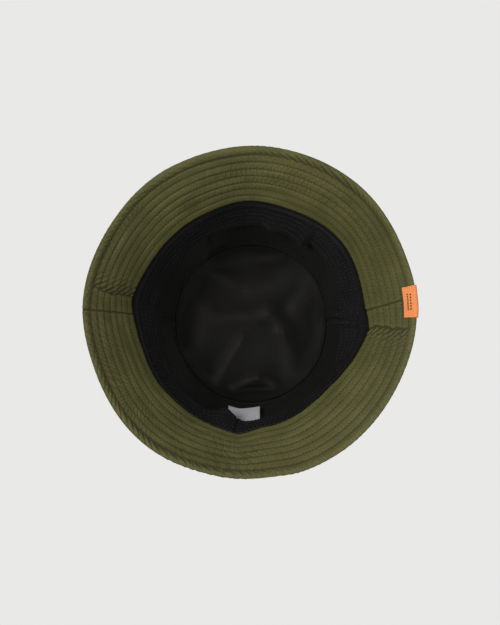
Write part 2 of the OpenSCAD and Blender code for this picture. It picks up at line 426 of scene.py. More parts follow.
def mesh_cloth(name, hole, yarn, pitch):
    """Knitted mesh: small open cells in staggered rows between shiny dark yarns."""
    m, nt, shader = material_base(name)
    uv = node(nt, "ShaderNodeUVMap", uv_map="cloth").outputs[0]
    where = node(nt, "ShaderNodeTexCoord").outputs["Object"]
    one = lines(nt, uv, pitch, 52)
    two = lines(nt, uv, pitch, -52)
    cells = maths(nt, "MULTIPLY", one, two)
    net = spread(nt, cells, 0.12, 0.42, 1, 0)
    fuzz = noise(nt, where, 0.8 * MM, 2.0)
    patches = noise(nt, where, 30 * MM, 2.0)
    # Painted shade from a value on each point darkens the mesh in its folds, clefts and seams.
    depth = node(nt, "ShaderNodeAttribute", attribute_name="painted_shade").outputs["Fac"]
    tone = maths(nt, "MULTIPLY", net, spread(nt, patches, 0.3, 0.7, 0.75, 1.0))
    tone = maths(nt, "MULTIPLY", tone, maths(nt, "SUBTRACT", 1.0, maths(nt, "MULTIPLY", depth, 0.95)))
    nt.links.new(mixed(nt, tone, hole, yarn), shader.inputs["Base Color"])
    relief = maths(nt, "ADD", net, maths(nt, "MULTIPLY", fuzz, 0.3))
    bumped = node(nt, "ShaderNodeBump", Strength=0.8, Distance=0.25 * MM, Height=relief)
    nt.links.new(bumped.outputs[0], shader.inputs["Normal"])
    nt.links.new(spread(nt, net, 0, 1, 0.8, 0.50), shader.inputs["Roughness"])
    shader.inputs["Specular IOR Level"].default_value = 0.12
    shader.inputs["Sheen Weight"].default_value = 0.03
    return m


def thread(name, dark, light, sheen=0.2):
    """Twisted sewing thread."""
    m, nt, shader = material_base(name)
    where = node(nt, "ShaderNodeTexCoord").outputs["Object"]
    strands = noise(nt, where, 0.5 * MM, 2.0, 0.6)
    nt.links.new(mixed(nt, spread(nt, strands, 0.3, 0.7, 0, 1), dark, light), shader.inputs["Base Color"])
    bumped = node(nt, "ShaderNodeBump", Strength=0.5, Distance=0.08 * MM, Height=strands)
    nt.links.new(bumped.outputs[0], shader.inputs["Normal"])
    shader.inputs["Roughness"].default_value = 0.55
    shader.inputs["Sheen Weight"].default_value = sheen
    return m


OLIVE = cloth("olive_nylon", (0.074, 0.071, 0.021), (0.122, 0.118, 0.037), 0.55 * MM,
              roughness=0.54, sheen=0.10, sheen_tint=(0.80, 0.80, 0.35), specular=0.18)
# The brim's cloth is the crown's olive nylon painted about 12 % lighter, which is painted light; it also has
# gathers between its quilted rows.
QUILTED_PAINTED_LIGHTER = cloth("olive_nylon_quilted_painted_lighter", (0.083, 0.080, 0.024), (0.136, 0.131, 0.041), 0.55 * MM,
                roughness=0.50, sheen=0.18, sheen_tint=(0.80, 0.80, 0.35), specular=0.22,
                painted_shade=0.62, gather=1.7 * MM)
OLIVE_THREAD = thread("olive_thread", (0.020, 0.021, 0.009), (0.046, 0.047, 0.020))
BLACK_BAND = cloth("black_band_cloth", (0.0058, 0.0058, 0.0060), (0.0125, 0.0122, 0.0125), 0.7 * MM, twill=60,
                   roughness=0.50, sheen=0.05, sheen_tint=(0.95, 0.95, 1.0), specular=0.16)
BLACK_THREAD = thread("black_thread", (0.004, 0.004, 0.0045), (0.011, 0.011, 0.012), sheen=0.03)
BLACK_MESH = mesh_cloth("black_mesh", (0.0016, 0.0016, 0.0016), (0.0205, 0.0195, 0.0160), 1.7 * MM)
FELT = cloth("white_felt", (0.60, 0.60, 0.56), (0.72, 0.72, 0.68), 1.5 * MM, roughness=0.9, sheen=0.1)
ORANGE = cloth("orange_ribbon", (1.0, 0.27, 0.072), (1.0, 0.37, 0.120), 0.5 * MM, twill=0, roughness=0.55,
               sheen=0.2, specular=0.3, painted_shade=0.3, patch=6 * MM)
SATIN = cloth("label_satin", (0.52, 0.52, 0.55), (0.62, 0.62, 0.65), 0.3 * MM, twill=8, roughness=0.32,
              sheen=0.1, specular=0.5, weave_depth=0.02, painted_shade=0.2)
INK = thread("dark_yarn", (0.006, 0.006, 0.008), (0.016, 0.015, 0.016), sheen=0.05)


# ---------------------------------------------------------------- the brim

def seam_at(side, t):
    """Azimuth of a side seam of the brim at fraction t of its width; the right one drifts forward."""
    if side == "right":
        return math.radians(-2.8) - math.radians(3.0) * t
    return np.full_like(t, math.radians(181.1))


def brim_frame(t):
    """Radius, height and the outward and upward directions of the brim's middle line."""
    chord = np.array([RIM_R - EDGE_R - BRIM_IN_R - BRIM_T / 2, -SEAM_Z + EDGE_R])
    size = np.hypot(*chord)
    normal = np.array([-chord[1], chord[0]]) / size
    t = np.asarray(t)[..., None]
    start = np.array([BRIM_IN_R + BRIM_T / 2, SEAM_Z + BRIM_T / 4])
    middle = start + chord * t - normal * BRIM_DIP * 4 * t * (1 - t)
    along = chord - normal * BRIM_DIP * 4 * (1 - 2 * t)
    along = along / np.linalg.norm(along, axis=-1, keepdims=True)
    up = np.stack([-along[..., 1], along[..., 0]], -1)
    middle = middle + np.array([-0.2, 1.0]) * SEAM_CURL * np.clip(1 - t / 0.16, 0, 1.2) ** 2
    return middle, along, up


def row_wander(az, t):
    """The rows of stitching are not quite straight."""
    return 0.35 * MM * ripple(az, t, 26, 4, 31) * np.clip(8 * (1 - t), 0, 1)


def row_t(row):
    """Fraction of the brim's width, from the crown seam, at a stitch row; row 1 is at the edge."""
    return 1 - row * ROW_PITCH / BRIM_LEN


def row_count(row):
    """Number of stitches in a row of the brim."""
    middle = brim_frame(row_t(row))[0]
    return int(TAU * middle[..., 0] / STITCH)


ROW_COUNTS = np.array([row_count(row) for row in range(0, BRIM_ROWS + 2)])


# Where the line between the two layers runs round the turned edge: 0 on top, 180 underneath
EDGE_SEAM = [(20, 112), (100, 112), (125, 98), (160, 60), (300, 60), (325, 108)]
# How strongly the gathers between the rows lean, and which way; it also sets how dark their painted shadows are
LEAN = [(20, 0.1), (80, 0.0), (105, -0.6), (125, -1.3), (140, -0.9), (152, 0.6), (165, 1.2), (195, 0.1),
        (250, -0.1), (300, 0.5), (340, 0.1)]
# How far the channels between the rows are puffed up
PUFF = [(15, 0.7), (50, 1.1), (80, 1.6), (115, 1.7), (150, 0.9), (180, 0.9), (215, 1.2), (240, 1.6), (270, 1.9),
        (298, 0.9), (335, 0.4)]
# How much painted shade darkens the hollows along the rows and the brim round them, by azimuth
SHADE = [(20, 0.15), (60, 0.3), (80, 0.55), (100, 1.1), (120, 0.85), (142, 0.3), (165, 0.4), (200, 0.5), (225, 0.1),
         (242, 0.3), (262, 0.9), (281, 0.0), (320, 0.4), (345, 0.15)]
# How strongly the hem is twisted like a rope, and how dark the painted shadows of the twists are
ROPE = [(20, 0.05), (70, 0.15), (100, 0.8), (125, 1.1), (150, 0.7), (175, 0.2), (235, 0.5), (262, 0.15),
        (285, 0.9), (305, 1.1), (322, 0.4), (345, 0.05)]
FINE_GATHER, BROAD_GATHER, HEM_TWIST = 2.7 * MM, 6.1 * MM, 7.6 * MM     # lengths of one wave
ROW_VALLEY = 0.55 * MM                   # half width of the dip along a row of stitches


def brim_relief(az, t, side):
    """How far the brim's skin stands out, and how much painted shade darkens its colour. side is -1 under, 1 on
    top.
    """
    s = (1 - t) * BRIM_LEN
    r = brim_frame(t)[0][..., 0]
    arc = az * RIM_R
    pos = (s + row_wander(az, t)) / ROW_PITCH
    nearest = np.clip(np.round(pos), 0, BRIM_ROWS + 1).astype(int)
    channel = np.floor(pos)
    off_row = pos - nearest
    sewn = (nearest >= 1) & (nearest <= BRIM_ROWS)
    x = np.clip(np.where(sewn, 2 * np.abs(off_row), 1.0), 0, 1)
    puffed = 1 - (1 - x) ** 3.6
    hem = np.clip(1.25 - pos, 0, 1) ** 0.5
    puff = (0.54 if side < 0 else 0.38) * stations(az, PUFF) * (1 + 0.6 * ripple(az, t, 60, 14, 33))
    height = puff * puffed + 1.05 * hem**2 * 4 * (pos * (1 - pos)).clip(0, 1)
    # each stitch pulls the cloth down, and the cloth stands up between the stitches
    count = ROW_COUNTS[nearest]
    pulled = 0.5 - 0.5 * np.cos(count * az)
    away = np.abs(off_row) * ROW_PITCH
    valley = ridge(away, ROW_VALLEY) * sewn
    height = height - 0.46 * valley * (0.3 + 0.7 * pulled)
    height = height + 0.13 * (1 - 2 * pulled) * np.exp(-away / (1.6 * MM)) * sewn
    # gathers across the channels
    lean = stations(az, LEAN) * (1 if side < 0 else -1)
    patch = np.clip(0.6 + 0.8 * ripple(az, t, 15, 4, 37 + side), 0.1, 1.4)
    wave = (arc + lean * s) / FINE_GATHER + 1.3 * ripple(az, t, 70, 12, 35 + side) + 0.37 * channel
    fine = np.sin(TAU * wave) * patch * (0.3 + 0.7 * puffed)
    wave = (arc + 1.2 * lean * s) / BROAD_GATHER + 1.1 * ripple(az, t, 44, 8, 39 + side) + 0.61 * channel
    broad = np.sin(TAU * wave) * patch * (0.3 + 0.7 * puffed)
    height = height + 0.15 * fine + 0.16 * broad
    shadow = (0.10 + 0.34 * np.abs(lean)) * (-0.7 * fine - 0.5 * broad).clip(0, None)
    # twisted pulls in the hem
    pull = stations(az, ROPE) * (1 if side < 0 else 0.6)
    rope = (arc - 1.8 * s) / HEM_TWIST + 0.9 * ripple(az, 0 * t, 50, 1, 43)
    twist = np.sin(TAU * rope)
    height = height + (0.38 * twist + 0.15 * np.sin(2 * TAU * rope + 1)) * pull * hem * puffed
    shadow = shadow + 1.2 * (-twist * pull - 0.1).clip(0, 1) * np.clip(1.3 - np.abs(pos - 0.75) / 0.45, 0, 1)
    # creases where the hat was folded flat
    part = pos - channel
    for centre, seed in ((FOLD_LEFT + 1.0, 45), (FOLD_RIGHT - 0.5, 47)):
        d = turn_from(az, centre) * r / MM + 1.3 * ripple(az, t, 8, 8, seed) + 0.5 * np.sin(TAU * pos * 0.5)
        strength = np.clip(pos / 1.5 - 0.2, 0, 1) * np.clip((BRIM_ROWS + 1.3 - pos) / 1.2, 0.3, 1)
        beside = np.exp(-(d / 7.0).clip(0, None)) * np.clip((d + 0.6) / 1.2, 0, 1)
        hooks = np.sin(TAU * (d / 4.6 - 0.9 * part + 0.15 * seed)) * beside
        crease = ridge(d, 0.9)
        fold = 1.0 * hooks - 0.95 * crease + 0.4 * ridge(d + 2.2, 1.6)
        height = height + fold * strength
        shadow = shadow + (1.6 * np.clip(-hooks - 0.15, 0, 1) + 0.5 * crease) * strength
    # side seams
    seam_line = 0
    for which in ("left", "right"):
        d = (np.mod(az - seam_at(which, t) + math.pi, TAU) - math.pi) * r
        seam_line = seam_line + ridge(d, 0.55 * MM)
        height = height + 0.25 * ridge(np.abs(d) - 2.2 * MM, 1.4 * MM)
    height = height - 0.8 * seam_line
    # Painted shade: darker where the skin lies low, along the stitch rows, over the brim by azimuth as SHADE gives,
    # at the side seams, and the painted shadows above.
    painted_shade = np.clip(0.45 - 1.3 * (height - 0.25), 0, 0.9) * 0.5 * (1 - valley) + valley * (0.15 + 0.85 * pulled**2)
    deep = 0.62 * stations(az, SHADE) * (1 + 0.6 * (nearest == 1))
    painted_shade = painted_shade + deep * ridge(away, 1.25 * MM) * sewn + 0.2 * deep
    painted_shade = painted_shade + seam_line + shadow
    return height * MM, painted_shade.clip(0, 1)


def brim_skin(az, t, side):
    """Points of the brim's under or upper skin, and how much painted shade darkens them."""
    middle, _, up = brim_frame(t)
    height, painted_shade = brim_relief(az, t, side)
    off = np.maximum(BRIM_T / 2 + height - 0.3 * MM, 0.25 * MM)
    p = middle + up * (side * off)[..., None]
    hidden = HEAD_R + 0.65 * BAND_T
    return settle(az, np.maximum(p[..., 0], hidden), np.maximum(p[..., 1], 0.0)), painted_shade


def brim_edge(az, phi, inset=0.0):
    """Points round the turned edge: phi 0 on top, pi underneath."""
    one = np.ones_like(az)
    middle, along, up = brim_frame(one)
    over, _ = brim_relief(az, one, 1)
    under, _ = brim_relief(az, one, -1)
    calm = 0.5 * MM + 0.15 * MM * ripple(az, 0 * az, 60, 1, 49)
    side = np.cos(phi)
    lift = np.where(side > 0, over, under) * np.abs(side) ** 1.5 + calm * (1 - np.abs(side) ** 1.5)
    rad = np.maximum(BRIM_T / 2 + lift - 0.3 * MM, 0.5 * MM) - inset
    p = middle + along * (rad * np.sin(phi))[..., None] + up * (rad * np.cos(phi))[..., None]
    return settle(az, p[..., 0], np.maximum(p[..., 1], 0.0))


# Mesh lines across one channel of the brim, closer together beside the stitch rows
ACROSS = (0, 0.05, 0.10, 0.16, 0.24, 0.34, 0.45, 0.55, 0.66, 0.76, 0.84, 0.90, 0.95)


def brim_panel(name, half, side):
    """One half of the brim's upper or under layer, with its share of the turned edge."""
    around, round_steps = 800, 8
    rows = np.arange(BRIM_ROWS + 2)[:, None] + np.array(ACROSS)[None]
    t = 1 - rows.ravel() * ROW_PITCH / BRIM_LEN
    t = np.append(-0.03, t[t > -0.029][::-1])
    q = np.linspace(0, 1, around)[:, None]
    right, left = seam_at("right", t)[None], seam_at("left", t)[None]
    if half == "front":
        az = left + (right + TAU - left) * q
    else:
        az = right + (left - right) * q
    tt = t[None] + row_wander(az, t[None] + 0 * az) / BRIM_LEN
    body, painted_shade = brim_skin(az, tt, side)
    end_az = np.broadcast_to(az[:, -1:], (around, round_steps))
    seam_phi = np.radians(stations(az[:, -1:], EDGE_SEAM))
    steps = np.arange(1, round_steps + 1) / round_steps
    phi = seam_phi * steps if side > 0 else math.pi - (math.pi - seam_phi + math.radians(4)) * steps
    tuck = np.zeros_like(phi)
    tuck[:, -2:] = 0.12 * MM, 0.45 * MM
    turned = brim_edge(end_az, phi, tuck)
    # Painted shade round the turned edge, darkest in a line where the two layers meet.
    painted_edge_shade = 0.5 * (np.sin(phi) ** 2) + np.zeros_like(phi)
    painted_edge_shade[:, -1] = 1
    points = np.concatenate([body, turned], 1)
    values = np.concatenate([painted_shade, painted_edge_shade], 1)
    v = np.concatenate([t * BRIM_LEN, BRIM_LEN + np.arange(1, round_steps + 1) * 0.4 * MM])
    mean_r = (BRIM_IN_R + RIM_R) / 2
    uv = np.stack(np.broadcast_arrays(az[:, -1:] * mean_r, v[None]), -1)
    return sheet_object(name, points, uv, flip=side < 0, values={"painted_shade": values})


def brim_thread(row, side):
    t = row_t(row)
    count = ROW_COUNTS[row]
    turns = (np.arange(count) + 0.5) * TAU / count

    def place(az, aside):
        tt = np.full(np.shape(az), t) + aside / BRIM_LEN
        return brim_skin(az, tt + row_wander(az, tt) / BRIM_LEN, side)[0]

    return stitches(f"row_{row}_{side}", place, turns, STITCH * 0.56, 0.46 * MM, out_sign=side)


for half in ("front", "back"):
    for layer, side in (("under", -1), ("top", 1)):
        panel = brim_panel(f"brim_{layer}_{half}_cloth", half, side)
        place_piece(panel, QUILTED_PAINTED_LIGHTER, "shell", "hat", f"brim_{layer}_{half}")

for row in range(1, BRIM_ROWS + 1):
    pair = join(f"brim_stitches_{row}", [brim_thread(row, -1), brim_thread(row, 1)])
    place_piece(pair, OLIVE_THREAD, "shell_thread", "hat", f"brim_stitch_row_{row}")


def stiffener(half):
    """Felt between the two layers of the brim, a closed thin slab."""
    around, across = 400, 48
    t = np.linspace(0.05, 0.985, across)
    q = np.linspace(0.001, 0.999, around)[:, None]
    right, left = seam_at("right", t)[None], seam_at("left", t)[None]
    az = left + (right + TAU - left) * q if half == "front" else right + (left - right) * q
    tt = np.broadcast_to(t[None], az.shape)
    middle, _, up = brim_frame(tt)
    loops = []
    for side in (1, -1):
        p = middle + up * (side * 0.1 * MM)
        layer = settle(az, p[..., 0], p[..., 1])
        loops.append(layer if side > 0 else layer[:, ::-1])
    ring = np.concatenate(loops + [loops[0][:, :1]], 1)
    arc = np.linspace(0, 2 * BRIM_LEN, ring.shape[1])
    uv = np.stack(np.broadcast_arrays(az[:, :1] * RIM_R, arc[None]), -1)
    return sheet_object(f"brim_stiffener_{half}_felt", ring, uv)


for half in ("front", "back"):
    place_piece(stiffener(half), FELT, "stiffener", "hat", f"brim_stiffener_{half}")


# ---------------------------------------------------------------- the crown's shell

BEND_Z = HEAD_UPRIGHT_Z                  # the wall is upright below this and leans in above it
TAPER = (WALL_R - TIP_R) / (TOP_Z - BEND_Z)
SEAM_TURN = 2.0                          # degrees that the side seams sit forward of the middle
SIDE_SEAMS = (-SEAM_TURN, 180 + SEAM_TURN)
FOOT_Z = heights("crown_side_front")[0]
TOP_ROW, SIDE_ROW = 3 * MM, 2.5 * MM     # how far the topstitching lies from its seam
LONG_STITCH, THREAD = STITCH * 0.8, 0.42 * MM


def lean(z):
    return np.clip(z - BEND_Z, 0, None) * TAPER


def panel_span(half):
    """Azimuths of a front or back panel of the crown."""
    right, left = (math.radians(a) for a in SIDE_SEAMS)
    return (left, right + TAU) if half == "front" else (right, left)


def seam_gap(az):
    """Distance round the hat, on the radius of the crown, to the nearest side seam."""
    return np.minimum(*(np.abs(turn_from(az, c)) for c in SIDE_SEAMS)) * (WALL_R + TIP_R) / 2


def crown_relief(az, z):
    arc = az * WALL_R
    v = (z - FOOT_Z) / (TOP_Z - FOOT_Z)
    folds = 2.1 * ripple(az + 0.2 * v, v, 15, 4, 61) + 1.15 * ripple(az + 0.35 * v, v, 38, 5, 63)
    height = (folds - 0.3) * np.sin(math.pi * np.clip(v, 0.0, 1)) ** 0.6
    # dark is painted shade: along the seams, along the topstitch rows and on the wall's top edge.
    dark = 0
    for gap, size, seed in ((z - FOOT_Z, 0.30, 65), (TOP_Z - z, 0.34, 67), (seam_gap(az), 0.22, 69)):
        along = arc if seed != 69 else z
        pucker = np.sin(TAU * along / (4.6 * MM) + 2.2 * ripple(az, v, 30, 9, seed))
        height = height + size * pucker * np.exp(-np.abs(gap) / (4.5 * MM))
    for gap in (z - FOOT_Z, seam_gap(az)):
        seam = ridge(gap, 0.8 * MM)
        dark = dark + 0.8 * seam
        height = height - 0.6 * seam + 0.25 * ridge(gap - 2.0 * MM, 1.2 * MM)
    for gap in (z - FOOT_Z - TOP_ROW, TOP_Z - TOP_ROW - z, seam_gap(az) - SIDE_ROW):
        row = ridge(gap, 0.55 * MM)
        dark = dark + 0.4 * row
        height = height - 0.30 * row
    top = np.clip((z - TOP_Z + 1.6 * MM) / (1.6 * MM), 0, 1)
    height = height - 1.3 * top**2
    return (np.maximum(height, -0.9) + 0.7) * MM, np.clip(dark + 0.7 * top**2, 0, 1)


def crown_wall(az, z, out=0.0):
    height, _ = crown_relief(az, z)
    return settle(az, WALL_R - lean(z) + height + out, z)


def crown_side(half):
    around, up = 520, 96
    a, b = panel_span(half)
    az = np.linspace(a, b, around)[:, None] + np.zeros(up)
    z = np.linspace(FOOT_Z - 1.2 * MM, TOP_Z, up)[None] + np.zeros((around, 1))
    _, painted_shade = crown_relief(az, z)
    uv = np.stack([az * (WALL_R + TIP_R) / 2, z], -1)
    return sheet_object(f"crown_side_{half}_cloth", crown_wall(az, z), uv, values={"painted_shade": painted_shade})


TIP_RISE = PEAK_Z - TOP_Z


def tip_relief(az, r):
    v = r / TIP_R
    gap = TIP_R - r
    height = 1.5 * ripple(az, v, 9, 3, 71) * v + 0.8 * ripple(az + 0.5 * v, v, 26, 5, 73) * v
    pucker = np.sin(TAU * az * TIP_R / (4.4 * MM) + 2 * ripple(az, v, 24, 2, 75))
    height = height + 0.33 * pucker * np.exp(-gap / (4 * MM))
    row = ridge(gap - SIDE_ROW, 0.55 * MM)
    height = height - 0.32 * row + 0.25 * ridge(gap - 1.4 * MM, 0.7 * MM)
    # Painted shade along the stitch row and at the panel's edge.
    edge = np.clip(1 - gap / (1.3 * MM), 0, 1)
    return (height - 1.1 * edge**2) * MM, np.clip(0.4 * row + 0.8 * edge**2, 0, 1)


def tip_surface(az, r, out=0.0):
    height, _ = tip_relief(az, r)
    z = TOP_Z + TIP_RISE * (1 - (r / TIP_R) ** 2) * 0.86 + height + out
    p = settle(az, r - 0.2 * MM, np.full_like(z, TOP_Z))
    p[..., 2] = p[..., 2] - TOP_Z + z
    return p


def disc_object(name, surface, radius, rings, around, values=None):
    """A round panel: rings of points and one in the middle."""
    r = radius * (np.arange(1, rings + 1) / rings) ** 0.9
    az = np.arange(around) * TAU / around
    rr, aa = np.meshgrid(r, az, indexing="ij")
    points = surface(aa, rr).reshape(-1, 3)
    centre = surface(np.zeros(1), np.full(1, 1e-5)).reshape(1, 3)
    verts = np.concatenate([points, centre])
    uv = np.concatenate([np.stack([rr * np.cos(aa), rr * np.sin(aa)], -1).reshape(-1, 2), [[0, 0]]])
    i = np.arange(rings - 1)[:, None] * around
    j = np.arange(around)[None]
    k = (j + 1) % around
    quads = np.stack([i + j, i + around + j, i + around + k, i + k], -1).reshape(-1, 4)
    inner = np.array([[len(points), a, (a + 1) % around] for a in range(around)])
    mesh = bpy.data.meshes.new(name)
    faces = [tuple(q) for q in quads.tolist()] + [tuple(q) for q in inner.tolist()]
    mesh.from_pydata(verts.tolist(), [], faces)
    mesh.update()
    mesh.shade_smooth()
    loops = np.zeros(len(mesh.loops), np.int32)
    mesh.loops.foreach_get("vertex_index", loops)
    mesh.uv_layers.new(name="cloth").data.foreach_set("uv", uv[loops].astype(np.float32).ravel())
    if values is not None:
        mesh.attributes.new("painted_shade", "FLOAT", "POINT").data.foreach_set(
            "value", np.append(values(aa, rr).ravel(), 0).astype(np.float32))
    obj = bpy.data.objects.new(name, mesh)
    bpy.context.scene.collection.objects.link(obj)
    return obj


for half in ("front", "back"):
    side = crown_side(half)
    place_piece(side, OLIVE, "shell", "hat", f"crown_side_{half}")

tip = disc_object("crown_tip_cloth", tip_surface, TIP_R, 74, 420, lambda a, r: tip_relief(a, r)[1])
place_piece(tip, OLIVE, "shell", "hat", "crown_tip")


def evenly(length, pitch):
    """Middles of the stitches that fit in a length, as fractions of it."""
    count = int(length / pitch)
    return (np.arange(count) + 0.5) / count


def wall_row(name, z, cad_node):
    """A row of stitches round the crown's wall."""
    def on_wall(az, aside):
        return crown_wall(az, np.full(np.shape(az), z) + aside, 0.1 * MM)

    turns = evenly(TAU * (WALL_R - lean(z)), STITCH) * TAU
    obj = stitches(name, on_wall, turns, LONG_STITCH, THREAD)
    place_piece(obj, OLIVE_THREAD, "shell_thread", "hat", cad_node)


wall_row("crown_base_stitches", FOOT_Z + TOP_ROW, "crown_base_topstitch")
wall_row("tip_stitches_lower", TOP_Z - TOP_ROW, "tip_topstitch_lower")
turns = evenly(TAU * TIP_R, STITCH) * TAU
upper = stitches("tip_stitches_upper",
                 lambda az, aside: tip_surface(az, np.full(np.shape(az), TIP_R - SIDE_ROW) - aside, 0.1 * MM),
                 turns, LONG_STITCH, THREAD)
place_piece(upper, OLIVE_THREAD, "shell_thread", "hat", "tip_topstitch_upper")

for which, centre in zip(("right", "left"), SIDE_SEAMS):
    rows = []
    for off in (-SIDE_ROW, SIDE_ROW):
        def up_seam(z, aside, centre=centre, off=off):
            r = WALL_R - lean(z)
            return crown_wall(math.radians(centre) + (off + aside) / r, z, 0.1 * MM)

        length = TOP_Z - FOOT_Z - 10 * MM
        heights_up = FOOT_Z + 5 * MM + evenly(length, STITCH) * length
        rows.append(stitches("up", up_seam, heights_up, LONG_STITCH, THREAD, out_sign=-1))
    pair = join(f"side_seam_stitches_{which}", rows)
    place_piece(pair, OLIVE_THREAD, "shell_thread", "hat", f"side_seam_topstitch_{which}")


# ---------------------------------------------------------------- the mesh lining

def lining_hook(az, v):
    """Distance to the overlapping fold that runs from the band to the tip at the upper left."""
    return turn_from(az, 244 - 40 * (v - 0.45).clip(0, None) ** 1.2) * LINING_R


def lining_relief(az, v):
    """Loose folds of the lining, inwards being positive."""
    folds = 3.6 * ripple(az + 0.25 * v, v, 14, 3, 81) + 2.2 * ripple(az - 0.3 * v, v, 26, 5, 83)
    pucker = np.sin(TAU * az * 13 + 3 * ripple(az, v, 20, 2, 85)) * np.exp(-(1 - v) / 0.08)
    hook = lining_hook(az, v) + 1.0 * MM
    crease = 8.5 * np.exp(hook.clip(None, 0) / (12 * MM)) * np.clip(1 - hook / (1.2 * MM), 0, 1)
    notch = turn_from(az, 176 - 5 * v) * LINING_R
    crease = crease + 3.0 * ridge(notch, 3.0 * MM) * ridge(v - 0.52, 0.14)
    above_band = np.clip((v - 0.43) / 0.13, 0, 1)
    flat = (1.7 * bump(az, 93, 24)).clip(0, 1)      # it lies flat behind the care label
    folds = folds * (1 - flat)
    height = folds * above_band * np.clip((1 - v) / 0.2, 0, 1) ** 0.7 + 0.5 * pucker
    height = height + crease * above_band * np.clip((1.02 - v) / 0.15, 0, 1)
    cleft = np.exp(-(1 - v) / 0.025)
    stands = (np.maximum(height, -0.9) + 0.9) * (1 - flat)
    return (stands * (1 - cleft) + 0.9 * ridge((1 - v) - 0.05, 0.03)) * MM


# How far the seam round the lining's tip sags, in mm
TIP_SAG = [(0, 2.5), (45, 5), (80, 6), (110, 5), (150, 1.5), (185, 0.4), (220, 2), (262, 5), (300, 6.5),
           (325, 8), (345, 4)]


def lining_top(az):
    return LINING_TOP_Z - stations(az, TIP_SAG) * MM


def lining_side(half):
    around, up = 420, 80
    a, b = panel_span(half)
    az = np.linspace(a, b, around)[:, None] + np.zeros(up)
    v = np.linspace(-0.012, 1, up)[None] + np.zeros((around, 1))
    z = FOOT_Z + v * (lining_top(az) - FOOT_Z)
    # Painted shade along the side seams; the same line moves the seam's cloth outwards.
    painted_shade = ridge(seam_gap(az), 0.9 * MM)
    r = LINING_R - 0.4 * MM - lean(z) - lining_relief(az, v) + 0.5 * MM * painted_shade
    # the seam allowance turns in above the tip's edge
    turned = np.array([0.6, 1.2, 1.8]) * MM
    r = np.concatenate([r, r[:, -1:] - turned], 1)
    z = np.concatenate([z, z[:, -1:] + turned * 0.4], 1)
    az = np.concatenate([az, az[:, :3]], 1)
    # Painted shade: in the valleys of the folds, along the overlapping fold and on the slope beside it, in the
    # cleft at the top seam, and full on the turned-in seam allowance.
    valleys = np.clip(0.50 - lining_relief(az[:, :up], v) / (9 * MM), 0.05, 0.7)
    fold_line = ridge(lining_hook(az[:, :up], v) + 0.4 * MM, 1.7 * MM) * np.clip((v - 0.38) / 0.04, 0, 1)
    slope = 0.9 * np.exp(-np.abs(lining_hook(az[:, :up], v)) / (9 * MM)) * ridge(v - 0.50, 0.10)
    painted_shade = np.maximum.reduce([painted_shade, np.exp(-(1 - v) / 0.028), fold_line, valleys, slope])
    painted_shade = np.concatenate([painted_shade, np.ones((around, 3))], 1)
    uv = np.stack([az * (WALL_R + TIP_R) / 2, z], -1)
    return sheet_object(f"lining_side_{half}_mesh", settle(az, r, z), uv, flip=True, values={"painted_shade": painted_shade})


LINING_TIP_R = radii("lining_tip")[1]
LINING_DISC_R = LINING_TIP_R - 0.9 * MM  # the round panel ends inside its seam

# Loose folds of the lining's round panel, in mm: from (x, y) to (x, y), half width, height
TIP_FOLDS = [((-6, 14), (-30, 50), 5.5, 4.5), ((16, -12), (29, 10), 8.0, 3.6), ((29, 10), (38, 42), 8.0, 4.2),
             ((-14, 56), (6, 48), 4.5, 4.5), ((6, 48), (20, 54), 4.5, 4.2), ((54, -36), (40, -12), 7.0, 4.0),
             ((-42, -48), (-18, -36), 6.0, 4.0), ((-30, -4), (14, -6), 7.0, 4.0), ((-56, 26), (-40, 46), 5.5, 4.0),
             ((-40, -12), (-46, 18), 8.0, 3.4), ((-20, -54), (24, -57), 4.5, 2.8), ((0, -28), (30, -36), 9.0, 2.6)]


def tip_folds(x, y):
    """How far the folds stand towards the wearer at a point of the panel, in mm."""
    total = 0
    for (x0, y0), (x1, y1), wide, high in TIP_FOLDS:
        dx, dy = x1 - x0, y1 - y0
        k = (((x - x0) * dx + (y - y0) * dy) / (dx**2 + dy**2)).clip(0, 1)
        away = np.hypot(x - x0 - k * dx, y - y0 - k * dy)
        total = total + high * np.exp(-(away / wide) ** 2)
    return total


def lining_tip_flat(az, r):
    top = lining_top(az)
    out = r + (LINING_TOP_Z - top) * TAPER * (r / LINING_TIP_R) ** 2
    p = settle(az, out, top)
    x, y = p[..., 0] / MM, p[..., 1] / MM
    lift = 0.5 * ripple(az, 0 * az, 30, 1, 91) * (r / LINING_TIP_R) ** 6
    lift = lift - tip_folds(x, y) * (1 - (r / LINING_TIP_R) ** 10)
    edge = (r / LINING_TIP_R) ** 2
    p[..., 2] = LINING_TOP_Z - 1.0 * MM + lift * MM + (1 - edge) * 1.6 * MM - edge * (LINING_TOP_Z - top)
    return p


